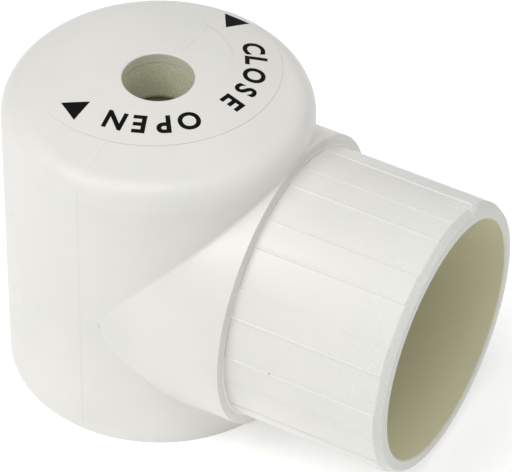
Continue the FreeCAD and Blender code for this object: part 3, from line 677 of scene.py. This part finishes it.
def make_film():
    """Clear film: a radial line spun into an arc with round ends, laid on the crown."""
    middle = (FILM_INNER + FILM_OUTER) / 2
    start_gap = 1 * MM
    height = crown_top + start_gap
    plan = Vector((FILM_CENTRE.x, FILM_CENTRE.y, height))
    start = math.radians(FILM_FIRST)
    outward = Vector((math.cos(start), math.sin(start), 0))
    deselect()
    bpy.ops.mesh.primitive_plane_add(size=1 * MM, location=(0, 0, 0))
    film = bpy.context.object
    edit(film)
    pick_points(film, lambda place: place.x > 0 or place.y > 0)
    bpy.ops.mesh.delete(type="VERT")
    bpy.ops.mesh.select_all(action="SELECT")
    corner = Vector((-0.5 * MM, -0.5 * MM, 0))
    bpy.ops.transform.translate(value=plan + outward * FILM_INNER - corner)
    cell = outward * ((FILM_OUTER - FILM_INNER) / FILM_CELLS)
    for _ in range(FILM_CELLS):
        bpy.ops.mesh.extrude_vertices_move(TRANSFORM_OT_translate={"value": cell})
    bpy.ops.object.mode_set(mode="OBJECT")

    first_end = plan + outward * middle
    half_cell = cell.length / 2
    turn = math.radians(FILM_FIRST + FILM_SWEEP)
    last_outward = Vector((math.cos(turn), math.sin(turn), 0))
    last_end = plan + last_outward * middle
    on_outer_half = lambda place: (place - plan).dot(outward) > middle - half_cell
    spin_points(film, on_outer_half, -180, first_end, 20)
    on_first_line = lambda place: abs((place - plan).cross(outward).z) < 0.01 * MM
    spin_points(film, on_first_line, FILM_SWEEP, plan, 130)
    on_last_half = lambda place: (abs((place - plan).cross(last_outward).z) < 0.01 * MM
                                  and (place - plan).dot(last_outward) > middle - half_cell)
    spin_points(film, on_last_half, 180, last_end, 20)

    edit(film)
    bpy.ops.mesh.select_all(action="SELECT")
    bpy.ops.mesh.remove_doubles(threshold=0.01 * MM)
    bpy.ops.mesh.normals_make_consistent(inside=False)
    bpy.ops.object.mode_set(mode="OBJECT")
    take(film)
    bpy.ops.object.transform_apply(location=True, rotation=True, scale=True)
    if film.data.polygons[0].normal.z < 0:
        film.data.flip_normals()
    apply_modifier(film, "lay", "SHRINKWRAP", target=frame["nodes"]["valve_body"],
                   wrap_method="PROJECT", use_project_z=True, use_negative_direction=True,
                   use_positive_direction=False, offset=FILM_LIFT)
    apply_modifier(film, "thick", "SOLIDIFY", thickness=FILM_THICKNESS, offset=1.0)
    finish_piece(film, "crown_film", "valve", FINISHES["clear_film"], 40)
    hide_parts("label_film")
    return film


def make_letter(letter, angle):
    """One flat letter, upright on the arc with its top outwards."""
    deselect()
    bpy.ops.object.text_add(location=(0, 0, 0))
    text = bpy.context.object
    text.data.body = letter
    text.data.align_x = "CENTER"
    text.data.offset = 0.03
    text.data.resolution_u = 8
    bpy.ops.object.convert(target="MESH")
    flat = bpy.context.object
    height = flat.dimensions.y
    middle = sum((Vector(corner) for corner in flat.bound_box), Vector()) / 8
    scale = LETTER_HEIGHT / height
    flat.scale = (scale * 0.97, scale, 1)
    flat.location = (-middle.x * scale, -middle.y * scale, 0)
    bpy.ops.object.transform_apply(location=True, rotation=True, scale=True)
    flat.rotation_euler = (0, 0, math.radians(angle - 90))
    flat.location = polar(LETTER_FOOT + LETTER_HEIGHT / 2, angle)
    bpy.ops.object.transform_apply(location=True, rotation=True, scale=True)
    return flat


def make_arrow(angle, way):
    """One flat triangle that points round the arc."""
    deselect()
    bpy.ops.mesh.primitive_circle_add(vertices=3, radius=1, fill_type="NGON")
    arrow = bpy.context.object
    edit(arrow)
    bpy.ops.mesh.select_all(action="SELECT")
    bpy.ops.transform.translate(value=(0, 0.5, 0))
    side = math.sqrt(3)
    bpy.ops.transform.resize(value=(ARROW_WIDTH / side, ARROW_LENGTH / 1.5, 1),
                             center_override=(0, 0, 0))
    bpy.ops.object.mode_set(mode="OBJECT")
    heading = angle - way * ARROW_LEAN + (0 if way > 0 else 180)
    arrow.rotation_euler = (0, 0, math.radians(heading))
    arrow.location = polar(ARROW_RADIUS, angle)
    bpy.ops.object.transform_apply(location=True, rotation=True, scale=True)
    return arrow


def make_print(film):
    """Black print on the film: OPEN, CLOSE and two arrows, laid on it and given thickness."""
    flats = []
    for word, angles in LETTER_ANGLES.items():
        for letter, angle in zip(word, angles):
            flats.append(make_letter(letter, angle))
    for angle, way in ARROWS:
        flats.append(make_arrow(angle, way))
    deselect()
    for flat in flats:
        flat.select_set(True)
    bpy.context.view_layer.objects.active = flats[0]
    bpy.ops.object.join()
    printing = bpy.context.object
    edit(printing)
    bpy.ops.mesh.select_all(action="SELECT")
    bpy.ops.mesh.remove_doubles(threshold=0.002 * MM)
    bpy.ops.mesh.quads_convert_to_tris()
    bpy.ops.mesh.subdivide(number_cuts=2)
    bpy.ops.mesh.quads_convert_to_tris()
    bpy.ops.object.mode_set(mode="OBJECT")
    apply_modifier(printing, "lay", "SHRINKWRAP", target=film,
                   wrap_method="PROJECT", use_project_z=True, use_negative_direction=True,
                   use_positive_direction=False, offset=0.012 * MM)
    apply_modifier(printing, "ink", "SOLIDIFY", thickness=0.03 * MM, offset=1.0)
    ink = moulded_material("film_ink_looks", (0.002, 0.002, 0.002, 1), (0.005, 0.005, 0.005, 1), 0.5,
                           grain=0.3, specks=0.02, bump=0.01 * MM, speck_tone=(0.2, 0.2, 0.19, 1))
    ink.node_tree.nodes["Principled BSDF"].inputs["Specular IOR Level"].default_value = 0.1
    finish_piece(printing, "film_print", "valve", ink)


# ---- traces of moulding on the body --------------------------------------------------------------

def make_parting_line():
    """The mould's parting line: a hair of plastic over the crown, from the hole to the edge."""
    half_width = 0.08 * MM
    hole_gap = drive_hole + 1.2 * MM
    source = frame["nodes"]["valve_body"]
    line = bpy.data.objects.new("parting_line", source.data.copy())
    bpy.context.scene.collection.objects.link(line)
    edit(line)
    bpy.ops.mesh.select_all(action="SELECT")
    bpy.ops.mesh.remove_doubles(threshold=0.001 * MM)
    for side in (-1, 1):
        bpy.ops.mesh.select_all(action="SELECT")
        bpy.ops.mesh.bisect(plane_co=(side * half_width, 0, 0), plane_no=(side, 0, 0),
                            clear_outer=True)
        bpy.ops.mesh.select_all(action="SELECT")
        bpy.ops.mesh.bisect(plane_co=(0, side * hole_gap, 0), plane_no=(0, side, 0))
    bpy.ops.mesh.select_mode(type="FACE")
    bpy.ops.object.mode_set(mode="OBJECT")
    for face in line.data.polygons:
        clear_of_hole = abs(face.center.y) > hole_gap
        crown = face.center.z > crown_top - 8 * MM and face.normal.z > 0.2
        face.select = not (crown and clear_of_hole)
    bpy.ops.object.mode_set(mode="EDIT")
    bpy.ops.mesh.delete(type="FACE")
    bpy.ops.mesh.select_mode(type="VERT")
    bpy.ops.mesh.select_all(action="SELECT")
    bpy.ops.mesh.delete_loose()
    bpy.ops.object.mode_set(mode="OBJECT")
    apply_modifier(line, "stand", "SOLIDIFY", thickness=0.035 * MM, offset=1.0)
    finish_piece(line, "parting_line", "valve", FINISHES["body_pvc"], 40)


def make_gate_mark():
    """Stub left where the plastic entered the mould, twisted off by hand."""
    across = 3.4 * MM
    stub_radius = 0.42 * MM
    stub_depth = 0.3 * MM
    surface = -math.sqrt(body_radius ** 2 - across ** 2)
    deselect()
    bpy.ops.mesh.primitive_cylinder_add(vertices=20, radius=stub_radius, depth=stub_depth,
                                        rotation=(math.pi / 2, 0, 0),
                                        location=(across, surface + 0.05 * MM, outlet_height))
    stub = bpy.context.object
    bpy.ops.object.transform_apply(location=True, rotation=True, scale=True)
    edit(stub)
    pick_points(stub, lambda place: place.y < surface)
    centre = Vector((across, surface, outlet_height))
    bpy.ops.mesh.inset(thickness=0.1 * MM)
    bpy.ops.transform.translate(value=(0.04 * MM, -0.08 * MM, 0.05 * MM))
    bpy.ops.transform.resize(value=(0.8, 1, 1.2), center_override=centre)
    bpy.ops.object.mode_set(mode="OBJECT")
    apply_modifier(stub, "soften", "BEVEL", width=0.07 * MM, segments=2, limit_method="ANGLE")
    finish_piece(stub, "gate_mark", "valve", FINISHES["body_pvc"], 50)


# ---- diaphragm ---------------------------------------------------------------------------------

def make_diaphragm():
    """Rubber diaphragm: hub on the compressor, flange in the clamp, and a curved web between."""
    # The hub stops a hair above the seat when closed, so that their faces don't coincide
    seat_gap = 0.02 * MM
    hub_foot = diaphragm_high.z - RUBBER + seat_gap
    hub_face = diaphragm_high.z
    flange_foot = diaphragm_low.z
    flange_face = flange_foot + RUBBER
    hub_radius = seat_radius
    flange_radius = diaphragm_high.x
    clamped_width = 4.8 * MM
    web_radius = flange_radius - clamped_width
    bead_radius = seat_radius - 4 * MM
    rib = 0.25 * MM

    hub = turned([
        (0.4 * MM, hub_foot + rib),
        (bead_radius - rib, hub_foot + rib),
        (bead_radius, hub_foot),
        (hub_radius - rib, hub_foot),
        (hub_radius, hub_foot + rib),
        (hub_radius, hub_face - rib),
        (hub_radius - rib, hub_face),
        (0.4 * MM, hub_face),
    ], 128)
    finish_piece(hub, "diaphragm_hub", "compressor", FINISHES["diaphragm_rubber"], 35)

    flange = turned([
        (web_radius + rib, flange_foot),
        (flange_radius, flange_foot),
        (flange_radius, flange_face),
        (web_radius + rib, flange_face),
        (web_radius, flange_face - rib),
        (web_radius, flange_foot + rib),
    ], 128)
    finish_piece(flange, "diaphragm_flange", "valve", FINISHES["diaphragm_rubber"], 35)

    half_web = 0.3 * MM
    low = (flange_foot + flange_face) / 2
    rise = (hub_foot + hub_face) / 2 - low
    under, over = [], []
    for index in range(13):
        share = index / 12
        radius = web_radius + 0.2 * MM - share * (web_radius - hub_radius + 0.4 * MM)
        height = low + rise * share * share * (3 - 2 * share)
        under.append((radius, height - half_web))
        over.append((radius, height + half_web))
    web = turned(under + over[::-1], 128)
    finish_piece(web, "diaphragm_web", None, FINISHES["diaphragm_rubber"], 60)
    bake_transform(web)
    for piece in (hub, flange, web):
        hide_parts("diaphragm")


# ---- stage, light and camera -------------------------------------------------------------------

def make_stage():
    """A plain white table top, a hair below the valve's foot."""
    foot_gap = 0.05 * MM
    deselect()
    bpy.ops.mesh.primitive_plane_add(size=40, location=(0, 0, cad_low.z - foot_gap))
    floor = bpy.context.object
    floor.name = "floor"
    material, nodes, links, shader = new_material("floor_white")
    shader.inputs["Base Color"].default_value = (0.93, 0.93, 0.93, 1)
    shader.inputs["Roughness"].default_value = 0.9
    shader.inputs["Emission Color"].default_value = (1, 1, 1, 1)
    shader.inputs["Emission Strength"].default_value = 0.3
    floor.data.materials.append(material)


def make_light(name, azimuth, elevation, distance, size, power):
    """A square soft box that faces the valve; azimuth as the camera's."""
    turn, lift = math.radians(azimuth), math.radians(elevation)
    back = Vector((math.sin(turn) * math.cos(lift), -math.cos(turn) * math.cos(lift), math.sin(lift)))
    data = bpy.data.lights.new(name, "AREA")
    data.shape = "SQUARE"
    data.size = size
    data.energy = power
    light = bpy.data.objects.new(name, data)
    bpy.context.scene.collection.objects.link(light)
    middle = (cad_low + cad_high) / 2
    light.location = middle + back * distance
    light.rotation_euler = (-back).to_track_quat("-Z", "Y").to_euler()


def make_lights():
    """White surroundings, a key from the left, a fill from the right, one above, one behind."""
    world = bpy.data.worlds.new("studio")
    world.use_nodes = True
    world.node_tree.nodes["Background"].inputs["Color"].default_value = (1, 1, 1, 1)
    world.node_tree.nodes["Background"].inputs["Strength"].default_value = 0.37
    bpy.context.scene.world = world
    bpy.context.scene.view_settings.view_transform = "Standard"
    make_light("key", -35, 50, 0.75, 0.4, 2.0)
    make_light("fill", 95, 40, 0.8, 0.6, 0.3)
    make_light("top", 20, 78, 0.8, 0.45, 2.15)
    make_light("rim", 150, 32, 0.8, 0.5, 0.35)


CAMERA_AZIMUTH = 28.479
CAMERA_ELEVATION = 42.707
CAMERA_ROLL = 0.970
CAMERA_DISTANCE = 661.6 * MM
CAMERA_TARGET = Vector((15.78, 6.85, 26.36)) * MM
CAMERA_LENS = 263.13


def make_camera():
    """A long lens from the front right, well above the valve."""
    turn = math.radians(CAMERA_AZIMUTH)
    lift = math.radians(CAMERA_ELEVATION)
    back = Vector((math.sin(turn) * math.cos(lift), -math.cos(turn) * math.cos(lift), math.sin(lift)))
    data = bpy.data.cameras.new("camera")
    data.sensor_width = 36
    data.lens = CAMERA_LENS
    data.clip_start = 0.01
    data.clip_end = 20
    camera = bpy.data.objects.new("camera", data)
    bpy.context.scene.collection.objects.link(camera)
    camera.location = CAMERA_TARGET + back * CAMERA_DISTANCE
    camera.rotation_euler = (-back).to_track_quat("-Z", "Y").to_euler()
    camera.rotation_euler.rotate_axis("Z", math.radians(CAMERA_ROLL))
    bpy.context.scene.camera = camera


# ---- make the valve ----------------------------------------------------------------------------

finish_frame_nodes()
make_spigot_tube()
make_weld_bead()
make_print(make_film())
make_parting_line()
make_gate_mark()
make_diaphragm()
make_stage()
make_lights()
make_camera()
